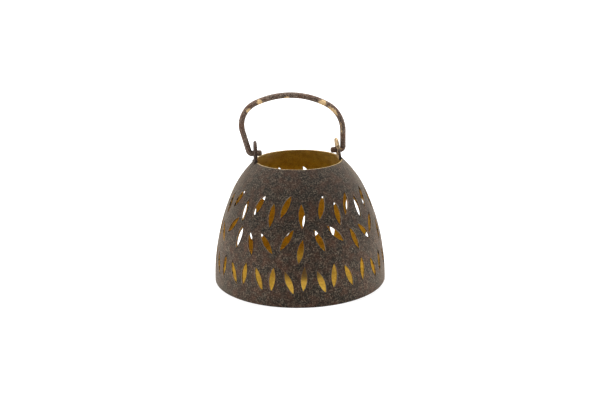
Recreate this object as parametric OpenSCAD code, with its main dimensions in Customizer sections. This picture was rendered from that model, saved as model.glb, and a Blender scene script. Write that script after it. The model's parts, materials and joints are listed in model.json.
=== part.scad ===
// Pierced steel lantern for a candle or a tealight.
// A domed sheet body with three rows of leaf-shaped slots stands on a pressed base pan.
// Two ears welded to the rim carry a bent rod handle, which swings over to either side.
// The origin is the middle of the underside, Z points up and the handle turns about the X direction.

/* [Body] */
// Outer diameter at the foot
body_d = 150; // [130:1:180]
// Height from the foot to the rim
body_h = 106; // [98:1:125]
// Outer diameter of the open mouth
mouth_d = 75; // [62:1:90]
// Thickness of the body's sheet steel
sheet = 1.2; // [0.8:0.1:2]
// Lean of the wall where the side curve gives way to the tighter shoulder curve, in degrees
shoulder_lean = 24; // [20:1:28]
// Lean of the wall at the rim, in degrees
rim_lean = 48; // [44:1:60]

/* [Base pan] */
// Thickness of the pan's sheet steel
pan_sheet = 1; // [0.6:0.1:1.5]
// Height of the pan's turned-up flange
pan_flange_h = 5; // [4:0.5:8]
// Outside radius of the bend between the pan's floor and its flange
pan_bend_r = 2; // [1.6:0.1:3]

/* [Leaf slots] */
// Length of a leaf slot from tip to tip
leaf_l = 20; // [14:0.5:21]
// Width of a leaf slot across its middle
leaf_w = 5; // [3:0.25:6]

/* [Bottom row of leaves] */
// Pairs of leaves round the bottom row, each an upright leaf and a slanted one
low_pairs = 17; // [12:1:18]
// Height of the upright leaves' middles
low_z = 24; // [20:1:27]
// How much lower the slanted leaves sit
low_drop = 2; // [0:0.5:5]
// Lean of the upright leaves to the right, in degrees
low_upright = 4; // [-10:1:10]
// Lean of the slanted leaves to the right, in degrees
low_slant = -20; // [-30:1:0]
// How far the spacing has crept by the back of the body, in degrees
low_creep = 5; // [0:0.5:8]

/* [Middle row of leaves] */
// Height of the middle row, halfway up its fans
mid_z = 53; // [50:1:55]
// Turn from one leaf to the next within a fan, in degrees
mid_pitch = 11.5; // [10.5:0.25:12]

/* [Top row of leaves] */
// Pairs of leaves round the top row, each a high slanted leaf and a low upright one
top_pairs = 14; // [10:1:15]
// Distance from the rim down to the middles of the high leaves
top_fall = 27; // [24:1:29]
// How much lower the upright leaves sit
top_drop = 6; // [3:0.5:8]
// Lean of the high leaves to the right, in degrees
top_slant = 20; // [10:1:30]
// Lean of the low leaves to the right, in degrees
top_upright = 1; // [-10:1:10]

/* [Ears] */
// Width of an ear, with its top rounded over to half of it
ear_w = 13; // [11:0.5:16]
// Thickness of the ears' plate
ear_t = 2.4; // [1.2:0.1:2.5]
// Height of an ear above the rim
ear_h = 17.5; // [15:0.5:22]
// Height of the pivot hole above the rim
hole_h = 7; // [5.5:0.5:8]
// Diameter of the pivot hole
hole_d = 6.2; // [6:0.1:7]
// How far the foot of the left ear stands in from the rim's outer edge
left_in = 0.4; // [0:0.1:1]
// How far the foot of the right ear stands in from the rim's outer edge
right_in = 2.2; // [1:0.1:2.5]
// Lean of the right ear towards the middle, in degrees
right_lean = 9; // [0:1:12]
// Radius of the weld bead along the outside of each ear's foot
bead_r = 1.4; // [1:0.1:2]
// How far the weld bead stops short of each edge of its ear
bead_short = 0.8; // [0.4:0.1:2]

/* [Handle] */
// Diameter of the handle's rod
rod_d = 5; // [4:0.1:5.5]
// Height of the handle's top above its pivots, to the middle of the rod
rise = 48.7; // [44:0.1:60]
// Radius of the long curve over the top
crown_r = 68; // [60:1:90]
// How far the crown's highest point lies left of the middle
crown_left = 8.7; // [0:0.1:12]
// Radius of the left shoulder
left_shoulder_r = 20; // [14:1:24]
// Radius of the right shoulder
right_shoulder_r = 27; // [20:1:30]
// Outward lean of the left arm, in degrees
left_arm_lean = 15.5; // [5:0.5:18]
// Outward lean of the right arm, in degrees
right_arm_lean = 0; // [0:0.5:8]
// Radius of the bend at the foot of each arm
foot_bend_r = 2.8; // [2.8:0.1:4]
// Play between the left ear's outside face and the left bend
left_play = 1.6; // [0.4:0.1:3]
// Play between the right ear's outside face and the right bend
right_play = 0.4; // [0.4:0.1:3]
// How far the left rod end stands out inside its ear
left_nub = 4.4; // [3:0.1:7]
// How far the right rod end stands out inside its ear
right_nub = 5.2; // [3:0.1:7]
// Rounding of the rod ends
nub_round = 1.6; // [0.5:0.1:1.9]

/* [Hidden] */
$fn = 96;

steel_coat = "#5b4f46";
gold_lacquer = "#a8842f";

// The fans of the middle row were set out by eye: where the first leaf of each fan falls, in
// degrees from the front to the right. One half fan closes the ring and has only the last two.
// Rises are counted in twentieths of a leaf's length.
fan_starts = [57, 109, 154, 201, 248, 294, 343];
half_fan_start = 11;
fan_rises = [5, -3, -2, 1];
fan_leans = [34, 10, -17, -38];

// Leaves that stray from the even rows: [leaf, degrees to the right, rise, extra lean].
top_strays = [[0, -1, 1, 2], [1, -1, 0, -2], [2, 2.5, 0, -3], [3, 2.5, 0, -4], [5, -0.5, 1, 0],
    [7, 2, 0, 0], [14, 2, 0, 0], [16, 1, 0, 0], [19, -1, 0, 0], [21, 2, 1, 0], [22, -2, 0, 0],
    [24, 0, 1, 5], [25, 0.5, 0, 2], [26, 1, 0, 2], [27, 1, 0, 3]];
fan_strays = [[0, -1, 0, 0], [1, 0, -2, 0], [6, -2, 0, 0], [7, -2, -1, 0], [10, -2, 0, 0],
    [11, 0, 1, 0], [12, 1, 0, 0], [13, -2, -2, 8], [14, -4, -5, 7], [15, -1, -4, 0],
    [16, -2, -2, 0], [19, -1, -4, 2], [20, 0, 1, 2], [21, -1, 2, -2], [22, -1, -2, 4],
    [23, 0, -3, 1], [24, 0, -3, -2], [25, -2, -4, 1], [26, 0, 3, -6], [27, 1, 4, -4]];
low_strays = [[0, 0.5, 0, 0], [1, 1, -1, 0], [2, -1, 1, 0], [3, -1, 1, 0], [4, 0, 1, -2],
    [5, 1, 0, 1], [16, -0.7, 0, 0], [21, 0.8, -1, 0], [22, 0, -2, 0], [28, 0, 0, 2],
    [29, 1.5, 0, -3], [30, 1, 0, 2], [31, 2, 0, 0], [32, 1, -1, 1], [33, 1.5, -1, -1]];

// Wall curve: two arcs, upright at the foot and tangent where they meet. Their radii follow from
// the drop in radius and the height that the two leans have to cover.
foot_r = body_d / 2;
mouth_r = mouth_d / 2;
arc_in = [1 - cos(shoulder_lean), cos(shoulder_lean) - cos(rim_lean)];
arc_up = [sin(shoulder_lean), sin(rim_lean) - sin(shoulder_lean)];
arc_det = arc_in[0] * arc_up[1] - arc_in[1] * arc_up[0];
side_r = ((foot_r - mouth_r) * arc_up[1] - arc_in[1] * body_h) / arc_det;
shoulder_r = (arc_in[0] * body_h - arc_up[0] * (foot_r - mouth_r)) / arc_det;
side_c = [foot_r - side_r, 0];
shoulder_c = side_c + (side_r - shoulder_r) * [cos(shoulder_lean), sin(shoulder_lean)];
side_top = side_r * sin(shoulder_lean);
// The shoulder curve stands this much proud of the side curve, so that the two cross in a point.
curve_lap = 0.02;
curve_fn = 360;

// Centre and radius of the curve that the wall follows at height z, the wall's lean there, and
// its radius from the middle of the body, less an inset along its normal.
function curve_c(z) = z < side_top ? side_c : shoulder_c;
function curve_r(z) = z < side_top ? side_r : shoulder_r;
function wall_lean(z) = asin((z - curve_c(z)[1]) / curve_r(z));
function wall_r(z, inset = 0) = let (c = curve_c(z), r = curve_r(z) - inset)
    c[0] + sqrt(r * r - (z - c[1]) * (z - c[1]));

// A leaf's middle: [degrees to the right of the front, height, lean to the right].
function stray(list, i) = let (found = [for (s = list) if (s[0] == i) s])
    len(found) > 0 ? found[0] : [i, 0, 0, 0];
function placed(list, i, turn, z, lean) = let (s = stray(list, i))
    [turn + s[1], z + s[2] * rise_step, lean + s[3]];

rise_step = leaf_l / 20;
low_first = -6;
top_first = -18;
top_z = body_h - top_fall;
low_leaves = [for (i = [0:2 * low_pairs - 1]) let (even = i % 2 == 0, turn = i * 180 / low_pairs)
    placed(low_strays, i, low_first + turn + low_creep * (1 - cos(turn)) / 2,
        even ? low_z : low_z - low_drop, even ? low_upright : low_slant)];
top_leaves = [for (i = [0:2 * top_pairs - 1]) let (even = i % 2 == 0)
    placed(top_strays, i, top_first + i * 180 / top_pairs,
        even ? top_z : top_z - top_drop, even ? top_slant : top_upright)];
fan_size = len(fan_rises);
fan_leaves = [for (f = [0:len(fan_starts) - 1], j = [0:fan_size - 1])
    placed(fan_strays, fan_size * f + j, fan_starts[f] + j * mid_pitch,
        mid_z + fan_rises[j] * rise_step, fan_leans[j])];
half_fan_leaves = [for (j = [fan_size / 2:fan_size - 1])
    [half_fan_start + j * mid_pitch, mid_z + fan_rises[j] * rise_step, fan_leans[j]]];
leaves = concat(low_leaves, fan_leaves, half_fan_leaves, top_leaves);
leaf_arc_r = (leaf_l * leaf_l + leaf_w * leaf_w) / (4 * leaf_w);
punch_reach = 4 * sheet;

// Pivots: both holes are on one line along X, and the rod's ends lie on it.
rod_r = rod_d / 2;
pivot_z = body_h + hole_h;
left_foot = mouth_r - left_in;
right_foot = mouth_r - right_in;
right_hole = right_foot - hole_h * tan(right_lean);
left_face = left_foot + ear_t / 2;
right_face = right_hole + ear_t / 2 / cos(right_lean);
weld_sink = 3;
seam_swell = 0.02;
seam_w = 0.06;

// One side of the handle, s = -1 for left and 1 for right, drawn in its own plane with the
// pivot line at height 0. The arm is tangent to its foot bend and to its shoulder, and the
// shoulder touches the crown from inside.
crown_c = [-crown_left, rise - crown_r];
function arm_lean(s) = s < 0 ? left_arm_lean : right_arm_lean;
function bend_start(s) = s < 0 ? left_face + left_play : right_face + right_play;
function arm_corner(s) = [s * (bend_start(s) + foot_bend_r * tan(45 - arm_lean(s) / 2)), 0];
function arm_dir(s) = [s * sin(arm_lean(s)), cos(arm_lean(s))];
function arm_in(s) = [-s * cos(arm_lean(s)), sin(arm_lean(s))];
function bend_run(s) = foot_bend_r * (1 - sin(arm_lean(s))) / cos(arm_lean(s));
function bend_c(s) = arm_corner(s) + foot_bend_r * arm_in(s) + bend_run(s) * arm_dir(s);
function side_shoulder_r(s) = s < 0 ? left_shoulder_r : right_shoulder_r;
function arm_run(s) = let (q = arm_corner(s) + side_shoulder_r(s) * arm_in(s) - crown_c,
        b = q * arm_dir(s), reach = crown_r - side_shoulder_r(s))
    -b + sqrt(b * b - q * q + reach * reach);
function shoulder_at(s) = arm_corner(s) + side_shoulder_r(s) * arm_in(s) + arm_run(s) * arm_dir(s);
function arm_turn(s) = s < 0 ? 180 + left_arm_lean : -right_arm_lean;
function crown_turn(s) = let (v = shoulder_at(s) - crown_c) atan2(v[1], v[0]);

// Half of the body's filled outline, less an inset along the wall's normal, between two heights:
// the side curve's disc, and above its top only what also lies in the shoulder curve's disc.
module dome_half(inset, bottom, top) {
    intersection() {
        translate(side_c) circle(side_r - inset, $fn = curve_fn);
        union() {
            translate([0, bottom]) square([foot_r, (side_r - inset) * sin(shoulder_lean) - bottom]);
            translate(shoulder_c) circle(shoulder_r - inset + curve_lap, $fn = curve_fn);
        }
        translate([0, bottom]) square([foot_r, top - bottom]);
    }
}

module dome_solid() {
    rotate_extrude() dome_half(0, 0, body_h);
}

// Two equal arcs that meet in sharp tips.
module leaf_outline() {
    offset_x = leaf_arc_r - leaf_w / 2;
    intersection() {
        translate([-offset_x, 0]) circle(leaf_arc_r);
        translate([offset_x, 0]) circle(leaf_arc_r);
    }
}

// The punch for one leaf, square to the wall at the leaf's middle.
module leaf_punch(turn, z, lean) {
    rotate([0, 0, turn])
        translate([0, -wall_r(z), z])
        rotate([90 - wall_lean(z), 0, 0])
        rotate([0, 0, -lean])
        translate([0, 0, -punch_reach])
        linear_extrude(height = 2 * punch_reach) leaf_outline();
}

// Spun dome with an open foot and mouth, pierced with three rows of leaves.
module body_shell() {
    color(steel_coat)
        difference() {
            rotate_extrude()
                difference() {
                    dome_half(0, 0, body_h);
                    dome_half(sheet, -sheet, body_h + sheet);
                }
            for (leaf = leaves) leaf_punch(leaf[0], leaf[1], leaf[2]);
        }
}

// Flat floor with a flange turned up all round. It goes in from below until the top of the
// flange meets the leaning wall, and is flush with the foot.
module pan_half(r, bend, bottom) {
    translate([0, bottom]) square([r - bend, pan_flange_h + pan_sheet]);
    translate([0, bottom + bend]) square([r, pan_flange_h + pan_sheet]);
    translate([r - bend, bottom + bend]) circle(bend);
}

module base_pan() {
    pan_r = wall_r(pan_flange_h, sheet);
    color(gold_lacquer)
        rotate_extrude()
            difference() {
                intersection() {
                    pan_half(pan_r, pan_bend_r, 0);
                    square([pan_r, pan_flange_h]);
                }
                pan_half(pan_r - pan_sheet, pan_bend_r - pan_sheet, pan_sheet);
            }
}

// Ear outline in its own plane, with the rim at height 0 and a foot that reaches below it.
module ear_outline() {
    top_c = ear_h - ear_w / 2;
    translate([-ear_w / 2, -weld_sink]) square([ear_w, top_c + weld_sink]);
    translate([0, top_c]) circle(d = ear_w);
}

// One ear: s = -1 for left and 1 for right. Its foot and weld bead are cut to the body's
// outside, so that they sit on the rim and on the wall just below it.
module ear(s, foot, lean) {
    color(steel_coat)
        difference() {
            union() {
                translate([s * foot, 0, body_h])
                    rotate([0, -s * lean, 0])
                    translate([-ear_t / 2, 0, 0])
                    rotate([90, 0, 90])
                    linear_extrude(height = ear_t) ear_outline();
                translate([s * (foot + ear_t / 2), 0, body_h - bead_r / 2])
                    rotate([90, 0, 0])
                    cylinder(r = bead_r, h = ear_w - 2 * bead_short, center = true);
            }
            dome_solid();
            translate([s * foot, 0, body_h])
                rotate([0, -s * lean, 0])
                translate([-ear_t, 0, hole_h / cos(lean)])
                rotate([0, 90, 0]) cylinder(d = hole_d, h = 2 * ear_t);
        }
}

module ear_left() {
    ear(-1, left_foot, 0);
}

module ear_right() {
    ear(1, right_foot, right_lean);
}

// A bent length of rod about a centre, from one direction to the other, whichever comes first.
module rod_arc(centre, r, from, to) {
    translate(centre)
        rotate([0, 0, min(from, to)])
        rotate_extrude(angle = abs(to - from)) translate([r, 0]) circle(rod_r);
}

// Straight rod end along the pivot line, from its rounded end inside the ear to the foot bend.
module rod_end(s, hole, face) {
    inner = hole - (face - hole) - (s < 0 ? left_nub : right_nub);
    length = abs(bend_c(s)[0]) - inner;
    translate([s * inner, 0])
        rotate([0, s * 90, 0])
        rotate_extrude() {
            translate([0, nub_round]) square([rod_r, length - nub_round]);
            square([rod_r - nub_round, nub_round]);
            translate([rod_r - nub_round, nub_round])
                intersection() {
                    circle(nub_round);
                    translate([0, -nub_round]) square(nub_round);
                }
        }
}

module arm(s) {
    translate(arm_corner(s) + bend_run(s) * arm_dir(s))
        rotate([-90, 0, -s * arm_lean(s)])
        cylinder(r = rod_r, h = arm_run(s) - bend_run(s));
}

// Hair-thin band round the seam between two lengths of the rod, which joins them for good. The
// rod runs there in a direction given in degrees from the pivot line.
module rod_seam(at, direction) {
    translate(at)
        rotate([0, 90, direction])
        cylinder(r = rod_r + seam_swell, h = seam_w, center = true);
}

module rod_side(s, hole, face) {
    down = s < 0 ? 270 : -90;
    rod_end(s, hole, face);
    rod_seam([bend_c(s)[0], 0], 0);
    rod_arc(bend_c(s), foot_bend_r, arm_turn(s), down);
    rod_seam(arm_corner(s) + bend_run(s) * arm_dir(s), arm_turn(s) + 90);
    arm(s);
    rod_seam(arm_corner(s) + arm_run(s) * arm_dir(s), arm_turn(s) + 90);
    rod_arc(shoulder_at(s), side_shoulder_r(s), arm_turn(s), crown_turn(s));
    rod_seam(crown_c + crown_r * [cos(crown_turn(s)), sin(crown_turn(s))], crown_turn(s) + 90);
}

// One length of rod: end, foot bend, arm and shoulder on each side, and the crown between them.
module bail_handle() {
    color(steel_coat)
        translate([0, 0, pivot_z])
        rotate([90, 0, 0]) {
            rod_side(-1, left_foot, left_face);
            rod_arc(crown_c, crown_r, crown_turn(1), crown_turn(-1));
            rod_side(1, right_hole, right_face);
        }
}

body_shell();
base_pan();
ear_left();
ear_right();
bail_handle();
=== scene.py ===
import json
import math

import bpy
import numpy as np
from bpy.props import FloatProperty, PointerProperty, StringProperty
from mathutils import Matrix, Vector
from mathutils.geometry import delaunay_2d_cdt


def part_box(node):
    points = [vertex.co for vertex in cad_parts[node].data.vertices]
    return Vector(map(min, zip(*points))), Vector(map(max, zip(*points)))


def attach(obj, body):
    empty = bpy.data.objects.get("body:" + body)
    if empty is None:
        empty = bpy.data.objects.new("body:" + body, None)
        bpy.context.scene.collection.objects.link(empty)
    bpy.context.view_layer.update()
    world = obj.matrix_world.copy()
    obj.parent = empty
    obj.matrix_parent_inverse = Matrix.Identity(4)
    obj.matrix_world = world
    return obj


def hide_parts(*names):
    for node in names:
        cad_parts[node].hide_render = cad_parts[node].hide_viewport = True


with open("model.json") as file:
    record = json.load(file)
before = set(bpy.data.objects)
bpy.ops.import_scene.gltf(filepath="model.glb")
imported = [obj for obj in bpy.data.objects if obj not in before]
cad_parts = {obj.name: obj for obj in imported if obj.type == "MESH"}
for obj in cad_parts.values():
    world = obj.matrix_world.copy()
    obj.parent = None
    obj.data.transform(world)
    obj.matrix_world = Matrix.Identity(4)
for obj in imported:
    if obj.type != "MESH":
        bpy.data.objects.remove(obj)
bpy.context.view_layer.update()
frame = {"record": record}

bl_info = {
    "name": "Pierced Lantern",
    "version": (1, 0, 0),
    "blender": (4, 5, 0),
    "location": "View3D > Sidebar > Lantern",
    "description": "Builds a domed steel lantern pierced with leaf slots, with a swinging handle",
    "category": "Object",
}

MM = 0.001
FOOT_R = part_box("body_shell")[1].x
BODY_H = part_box("body_shell")[1].z
PIVOT_Z = frame["record"]["behaviour"]["joints"][0]["pos_m"][2]


# ---------------------------------------------------------------- sizes and colours


def length_prop(name, description, mm):
    """A length that a user can change, given in mm and kept in metres."""
    return FloatProperty(name=name, description=description, default=mm * MM, unit="LENGTH")


def angle_prop(name, description, degrees):
    """An angle that a user can change, given in degrees and kept in radians."""
    return FloatProperty(
        name=name, description=description, default=math.radians(degrees), subtype="ANGLE")


def colour_prop(name, description, hex_value):
    """A colour that a user can change, as an sRGB hex value."""
    return StringProperty(name=name, description=description, default=hex_value)


class BodySizes(bpy.types.PropertyGroup):
    """Sizes of the pierced body."""

    mouth_r: length_prop("Mouth radius", "Outer radius of the open mouth", 37.5)
    sheet: length_prop("Sheet", "Thickness of the steel sheet", 1.2)
    shoulder_lean: angle_prop(
        "Shoulder lean", "Lean of the wall where the shoulder curve begins", 24)
    rim_lean: angle_prop("Rim lean", "Lean of the wall at the rim", 48)
    leaf_l: length_prop("Leaf length", "Length of a leaf slot", 20)
    leaf_w: length_prop("Leaf width", "Width of a leaf slot", 5)
    roll: length_prop(
        "Rolled edge", "Radius that the punch drew in round the outside of a slot", 0.12)
    burr: length_prop("Inside edge", "Radius of a slot's edge inside the body", 0.1)
    dent: length_prop("Dents", "Depth of the shallow dents of hand work", 0.25)


class PanSizes(bpy.types.PropertyGroup):
    """Sizes of the base pan."""

    sheet: length_prop("Sheet", "Thickness of the steel sheet", 1)
    bend_r: length_prop("Bend", "Outside radius of the bend under the flange", 2)


class EarSizes(bpy.types.PropertyGroup):
    """Sizes of the two ears."""

    width: length_prop("Width", "Width of an ear", 13)
    height: length_prop("Height", "Height of an ear above the rim", 17.5)
    plate: length_prop("Plate", "Thickness of the plate", 2.4)
    hole_r: length_prop("Hole radius", "Radius of the pivot hole", 3.1)
    left_in: length_prop(
        "Left foot", "How far the left ear's foot stands in from the rim's edge", 0.4)
    right_in: length_prop(
        "Right foot", "How far the right ear's foot stands in from the rim's edge", 2.2)
    right_lean: angle_prop("Right lean", "Lean of the right ear towards the middle", 9)
    bead_r: length_prop("Weld bead", "Radius of the weld bead at an ear's foot", 1.4)


class HandleSizes(bpy.types.PropertyGroup):
    """Sizes of the bent rod."""

    rod_r: length_prop("Rod radius", "Radius of the rod", 2.5)
    rise: length_prop("Rise", "Height of the rod's top above the pivots", 48.7)
    crown_r: length_prop("Crown radius", "Radius of the long curve over the top", 68)
    crown_left: length_prop(
        "Crown offset", "How far the crown's highest point lies left of the middle", 8.7)
    left_shoulder_r: length_prop("Left shoulder", "Radius of the left shoulder", 20)
    right_shoulder_r: length_prop("Right shoulder", "Radius of the right shoulder", 27)
    left_lean: angle_prop("Left lean", "Outward lean of the left arm", 15.5)
    foot_bend_r: length_prop("Foot bend", "Radius of the bend at the foot of each arm", 2.8)
    left_play: length_prop("Left play", "Play between the left ear and the left bend", 1.6)
    right_play: length_prop("Right play", "Play between the right ear and the right bend", 0.4)
    left_nub: length_prop(
        "Left end", "How far the left rod end stands out inside its ear", 4.4)
    right_nub: length_prop(
        "Right end", "How far the right rod end stands out inside its ear", 5.2)
    nub_round: length_prop("End rounding", "Rounding of the rod ends", 1.6)


class Finishes(bpy.types.PropertyGroup):
    """Colours of the finishes, as sRGB hex values."""

    coat_dark: colour_prop("Coat, dark", "Pits of the rusted coat", "#14100B")
    coat: colour_prop("Coat", "Body of the rusted coat", "#2F2820")
    coat_light: colour_prop("Coat, light", "Rubbed grains of the rusted coat", "#7E7060")
    coat_rust: colour_prop("Rust", "Warm patches in the coat", "#5C3B2A")
    coat_sheen: colour_prop("Coat, sheen", "Dusty sheen of the wax at a glancing look", "#D8C8B4")
    lacquer: colour_prop("Lacquer", "Gold lacquer inside", "#E6C047")
    lacquer_dull: colour_prop("Lacquer, dull", "Sooted patches of the lacquer", "#CFA532")
    cut_edge: colour_prop("Cut edge", "Lacquer rubbed pale on the rim", "#B39C70")
    cut_edge_dull: colour_prop("Cut edge, dull", "Stained places of the rubbed lacquer", "#7C6238")
    slot_wall: colour_prop(
        "Slot wall", "Thin overspray of lacquer on the walls of the slots", "#B08A50")
    rod_dark: colour_prop("Rod, dark", "Pits of the rod's coat", "#2B211B")
    rod: colour_prop("Rod", "Body of the rod's coat", "#594B41")
    rod_light: colour_prop("Rod, light", "Rubbed grains of the rod's coat", "#9A8878")
    bare: colour_prop("Worn rod", "Pale patches where the rod's coat has worn off", "#CBAE82")
    floor: colour_prop("Floor", "White paint of the floor under the lantern", "#E6E6E6")


class ViewSizes(bpy.types.PropertyGroup):
    """Place of the camera and level of the lamps."""

    azimuth: angle_prop("Azimuth", "Direction of the camera round the lantern", -8)
    elevation: angle_prop("Elevation", "Height of the camera above the horizon", 16.107)
    roll: angle_prop("Roll", "Tilt of the camera about its own line of sight", -0.731)
    distance: length_prop(
        "Distance", "Distance of the camera from the point that it looks at", 801)
    aim_x: length_prop("Aim to the right", "How far right of the middle the camera looks", 0.73)
    aim_z: length_prop("Aim height", "Height at which the camera looks", 69.6)
    lens: FloatProperty(
        name="Lens", description="Focal length in millimetres on a sensor 36 mm wide",
        default=55.33, unit="CAMERA")
    top_power: FloatProperty(
        name="Top lamps", description="Power of each of the three overhead lamps",
        default=4.9, unit="POWER")
    side_power: FloatProperty(
        name="Side lamps", description="Power of each side lamp", default=4.5, unit="POWER")
    ambient: FloatProperty(
        name="Ambient", description="Level of the light from all round",
        default=0.36, min=0.0, max=1.0, subtype="FACTOR")


# ---------------------------------------------------------------- leaf slots, as punched

# The middle row has seven fans of four leaves and half a fan. Turns and leans are in degrees to
# the right of the front, and heights, rises and falls in mm.
FAN_STARTS = (57, 109, 154, 201, 248, 294, 343)
HALF_FAN_START = 11
FAN_RISES = (5, -3, -2, 1)
FAN_LEANS = (34, 10, -17, -38)
FAN_PITCH = 11.5
FAN_Z = 53
# The low row and the top row are pairs of leaves. The low row runs ahead of even steps by a
# creep that is greatest at the back.
LOW_PAIRS = 17
LOW_FIRST = -6
LOW_CREEP = 5
LOW_HEIGHTS = (24, 22)
LOW_LEANS = (4, -20)
TOP_PAIRS = 14
TOP_FIRST = -18
TOP_FALLS = (27, 33)
TOP_LEANS = (20, 1)
# Leaves that stray from the even rows: leaf, degrees to the right, rise, extra lean.
LOW_STRAYS = (
    (0, 0.5, 0, 0), (1, 1, -1, 0), (2, -1, 1, 0), (3, -1, 1, 0), (4, 0, 1, -2), (5, 1, 0, 1),
    (16, -0.7, 0, 0), (21, 0.8, -1, 0), (22, 0, -2, 0), (28, 0, 0, 2), (29, 1.5, 0, -3),
    (30, 1, 0, 2), (31, 2, 0, 0), (32, 1, -1, 1), (33, 1.5, -1, -1))
FAN_STRAYS = (
    (0, -1, 0, 0), (1, 0, -2, 0), (6, -2, 0, 0), (7, -2, -1, 0), (10, -2, 0, 0), (11, 0, 1, 0),
    (12, 1, 0, 0), (13, -2, -2, 8), (14, -4, -5, 7), (15, -1, -4, 0), (16, -2, -2, 0),
    (19, -1, -4, 2), (20, 0, 1, 2), (21, -1, 2, -2), (22, -1, -2, 4), (23, 0, -3, 1),
    (24, 0, -3, -2), (25, -2, -4, 1), (26, 0, 3, -6), (27, 1, 4, -4))
TOP_STRAYS = (
    (0, -1, 1, 2), (1, -1, 0, -2), (2, 2.5, 0, -3), (3, 2.5, 0, -4), (5, -0.5, 1, 0), (7, 2, 0, 0),
    (14, 2, 0, 0), (16, 1, 0, 0), (19, -1, 0, 0), (21, 2, 1, 0), (22, -2, 0, 0), (24, 0, 1, 5),
    (25, 0.5, 0, 2), (26, 1, 0, 2), (27, 1, 0, 3))


def strayed(rows, strays):
    """The even rows [turn, height, lean] with each stray added to its leaf."""
    for leaf, *shift in strays:
        rows[leaf] += shift
    return rows


def leaf_row(turn, height, lean):
    """A row of leaves [turn, height, lean] from its three columns."""
    return np.stack([turn, height, lean], 1).astype(float)


def all_leaves():
    """Every leaf slot as [degrees to the right of the front, height in mm, lean in degrees]."""
    leaf = np.arange(2 * LOW_PAIRS)
    turn = leaf * 180 / LOW_PAIRS
    creep = LOW_CREEP * (1 - np.cos(np.radians(turn))) / 2
    low = leaf_row(
        LOW_FIRST + turn + creep, np.take(LOW_HEIGHTS, leaf % 2), np.take(LOW_LEANS, leaf % 2))
    fan_size = len(FAN_RISES)
    leaf = np.arange(len(FAN_STARTS) * fan_size)
    step = leaf % fan_size
    fans = leaf_row(
        np.take(FAN_STARTS, leaf // fan_size) + step * FAN_PITCH,
        FAN_Z + np.take(FAN_RISES, step), np.take(FAN_LEANS, step))
    step = np.arange(fan_size // 2, fan_size)
    half_fan = leaf_row(
        HALF_FAN_START + step * FAN_PITCH, FAN_Z + np.take(FAN_RISES, step),
        np.take(FAN_LEANS, step))
    leaf = np.arange(2 * TOP_PAIRS)
    top = leaf_row(
        TOP_FIRST + leaf * 180 / TOP_PAIRS, BODY_H / MM - np.take(TOP_FALLS, leaf % 2),
        np.take(TOP_LEANS, leaf % 2))
    return np.concatenate([
        strayed(low, LOW_STRAYS), strayed(fans, FAN_STRAYS), half_fan, strayed(top, TOP_STRAYS)])


# ---------------------------------------------------------------- shapes


def circle(count):
    """Angles of so many even steps round a full turn."""
    return np.arange(count) * 2 * math.pi / count


def filleted(corners, radii, steps):
    """An open outline through the corners, with each inner corner cut by an arc of its radius:
    the arc's centre lies on the corner's bisector, radius / sin(half angle) from the corner."""
    points = [np.array(corners[0], float)]
    for before, corner, after, radius in zip(corners, corners[1:], corners[2:], radii):
        corner = np.array(corner, float)
        a = np.array(before, float) - corner
        b = np.array(after, float) - corner
        a, b = a / np.linalg.norm(a), b / np.linalg.norm(b)
        half = math.acos(np.clip(a @ b, -1, 1)) / 2
        bisector = (a + b) / np.linalg.norm(a + b)
        centre = corner + bisector * radius / math.sin(half)
        start = corner + a * radius / math.tan(half) - centre
        end = corner + b * radius / math.tan(half) - centre
        sweep = math.pi - 2 * half
        t = np.linspace(0, 1, steps + 1)[:, None]
        weights = np.sin((1 - t) * sweep) * start + np.sin(t * sweep) * end
        points.extend(centre + weights / math.sin(sweep))
    points.append(np.array(corners[-1], float))
    return np.array(points)


def grid_faces(rows, columns, close_rows=False):
    """Quads of a grid of rows by closed columns of vertices, each facing along rows x columns."""
    i = np.arange(rows if close_rows else rows - 1)
    i, j = np.meshgrid(i, np.arange(columns), indexing="ij")
    i2, j2 = (i + 1) % rows, (j + 1) % columns
    quads = [i * columns + j, i2 * columns + j, i2 * columns + j2, i * columns + j2]
    return np.stack(quads, -1).reshape(-1, 4)


def mesh_piece(name, points, quads, triangles=None, quad_materials=0, triangle_materials=0):
    """A smooth mesh object from arrays of points, quads and triangles. Each face points the way
    that its corners are wound."""
    triangles = np.zeros((0, 3), int) if triangles is None else triangles
    mesh = bpy.data.meshes.new(name)
    mesh.vertices.add(len(points))
    mesh.vertices.foreach_set("co", np.ascontiguousarray(points, np.float32).ravel())
    loops = np.concatenate([np.ravel(quads), np.ravel(triangles)]).astype(np.int32)
    mesh.loops.add(len(loops))
    mesh.loops.foreach_set("vertex_index", loops)
    sizes = np.concatenate([np.full(len(quads), 4), np.full(len(triangles), 3)])
    mesh.polygons.add(len(sizes))
    starts = np.concatenate([[0], np.cumsum(sizes)[:-1]]).astype(np.int32)
    mesh.polygons.foreach_set("loop_start", starts)
    materials = np.concatenate([
        np.broadcast_to(quad_materials, len(quads)),
        np.broadcast_to(triangle_materials, len(triangles))])
    mesh.polygons.foreach_set("material_index", materials.astype(np.int32))
    mesh.polygons.foreach_set("use_smooth", np.ones(len(sizes), bool))
    mesh.update(calc_edges=True)
    mesh.validate()
    piece = bpy.data.objects.new(name, mesh)
    bpy.context.scene.collection.objects.link(piece)
    return piece


def worn(piece, wear):
    """Gives every vertex of a piece its wear value, which the handled steel reads."""
    attribute = piece.data.attributes.new("wear", "FLOAT", "POINT")
    attribute.data.foreach_set("value", np.asarray(wear, np.float32))
    return piece


# Points in the table of the wall's spread
SPREAD_POINTS = 2001


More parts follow.
